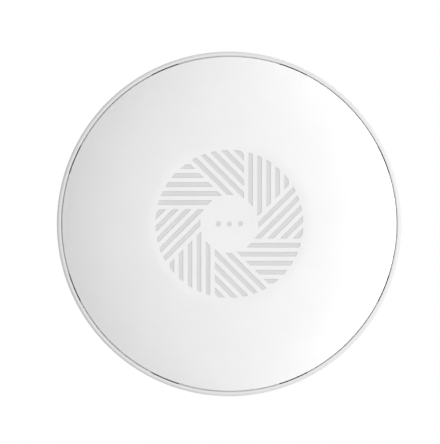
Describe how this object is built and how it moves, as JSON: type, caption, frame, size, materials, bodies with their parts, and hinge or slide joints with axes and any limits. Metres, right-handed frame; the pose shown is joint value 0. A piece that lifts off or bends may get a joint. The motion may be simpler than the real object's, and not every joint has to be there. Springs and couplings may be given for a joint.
{
  "type": "ceiling access point",
  "caption": "Round domed white ceiling unit with a striped light window, hung from a bayonet bracket, with a network socket in a cable pocket at its back",
  "frame": {"origin": "centre of the bracket's flat face, in the plane of the ceiling", "axes": "+Z up into the ceiling, so the unit hangs below z = 0 and its face looks along -Z; the network socket opens along -Y into the cable pocket; +X to the right when looked at from below with -Y up"},
  "size_m": [0.172, 0.172, 0.036],
  "materials": {
    "cover_plastic": "satin white moulded polycarbonate with a very fine grain",
    "casing_plastic": "satin white moulded plastic, a little duller than the cover",
    "diffuser_plastic": "milky translucent light grey",
    "reflector_plastic": "bright white, glossy",
    "bracket_plastic": "off-white moulded plastic",
    "label_film": "blank matt white label film",
    "circuit_board": "green solder mask over copper",
    "chip_resin": "matt black moulding resin",
    "black_plastic": "black moulded nylon",
    "tinned_steel": "tin-plated pressed sheet",
    "aluminium": "plain extruded or drawn aluminium",
    "thermal_pad": "soft blue-grey gap filler",
    "contact_gold": "gold-plated spring wire",
    "led_lens": "clear lens over yellow phosphor",
    "screw_steel": "zinc-plated steel"
  },
  "bodies": {
    "bracket": {"mounting_bracket": "bracket_plastic"},
    "finger": {"detent_finger": "bracket_plastic"},
    "unit": {"rear_casing": "casing_plastic", "front_cover": "cover_plastic", "light_diffuser": "diffuser_plastic", "light_reflector": "reflector_plastic", "rating_label": "label_film", "main_board": "circuit_board", "board_screw_1": "screw_steel", "board_screw_2": "screw_steel", "board_screw_3": "screw_steel", "board_screw_4": "screw_steel", "status_led_1": "led_lens", "status_led_2": "led_lens", "status_led_3": "led_lens", "status_led_4": "led_lens", "aerial_1": "tinned_steel", "aerial_2": "tinned_steel", "aerial_3": "tinned_steel", "aerial_4": "tinned_steel", "processor_chip": "chip_resin", "memory_chip": "chip_resin", "flash_chip": "chip_resin", "processor_shield": "tinned_steel", "thermal_pad": "thermal_pad", "heat_sink": "aluminium", "radio_chip_2g": "chip_resin", "radio_shield_2g": "tinned_steel", "radio_chip_5g": "chip_resin", "radio_shield_5g": "tinned_steel", "power_transformer": "chip_resin", "power_inductor": "chip_resin", "power_controller_chip": "chip_resin", "ethernet_transformer": "chip_resin", "capacitor_1": "aluminium", "capacitor_2": "aluminium", "jack_shell": "tinned_steel", "jack_insert": "black_plastic", "jack_contact_1": "contact_gold", "jack_contact_2": "contact_gold", "jack_contact_3": "contact_gold", "jack_contact_4": "contact_gold", "jack_contact_5": "contact_gold", "jack_contact_6": "contact_gold", "jack_contact_7": "contact_gold", "jack_contact_8": "contact_gold", "reset_switch": "black_plastic"},
    "reset_button": {"reset_plunger": "black_plastic"}
  },
  "joints": [
    {"name": "twist_lock", "type": "hinge", "parent": "bracket", "child": "unit", "pos_m": [0, 0, 0], "axis": [0, 0, -1], "range_deg": [0, 24]},
    {"name": "detent_flex", "type": "hinge", "parent": "bracket", "child": "finger", "pos_m": [-0.04327, 0.01406, -0.0038], "axis": [-0.9511, 0.309, 0], "range_deg": [0, 4]},
    {"name": "reset_press", "type": "slide", "parent": "unit", "child": "reset_button", "axis": [0, 1, 0], "range_m": [0, 0.0003], "stiffness_N_per_m": 3000}
  ],
  "couplings": [
    {"joint": "detent_flex", "follows": "twist_lock", "ratio": 0.16666}
  ]
}
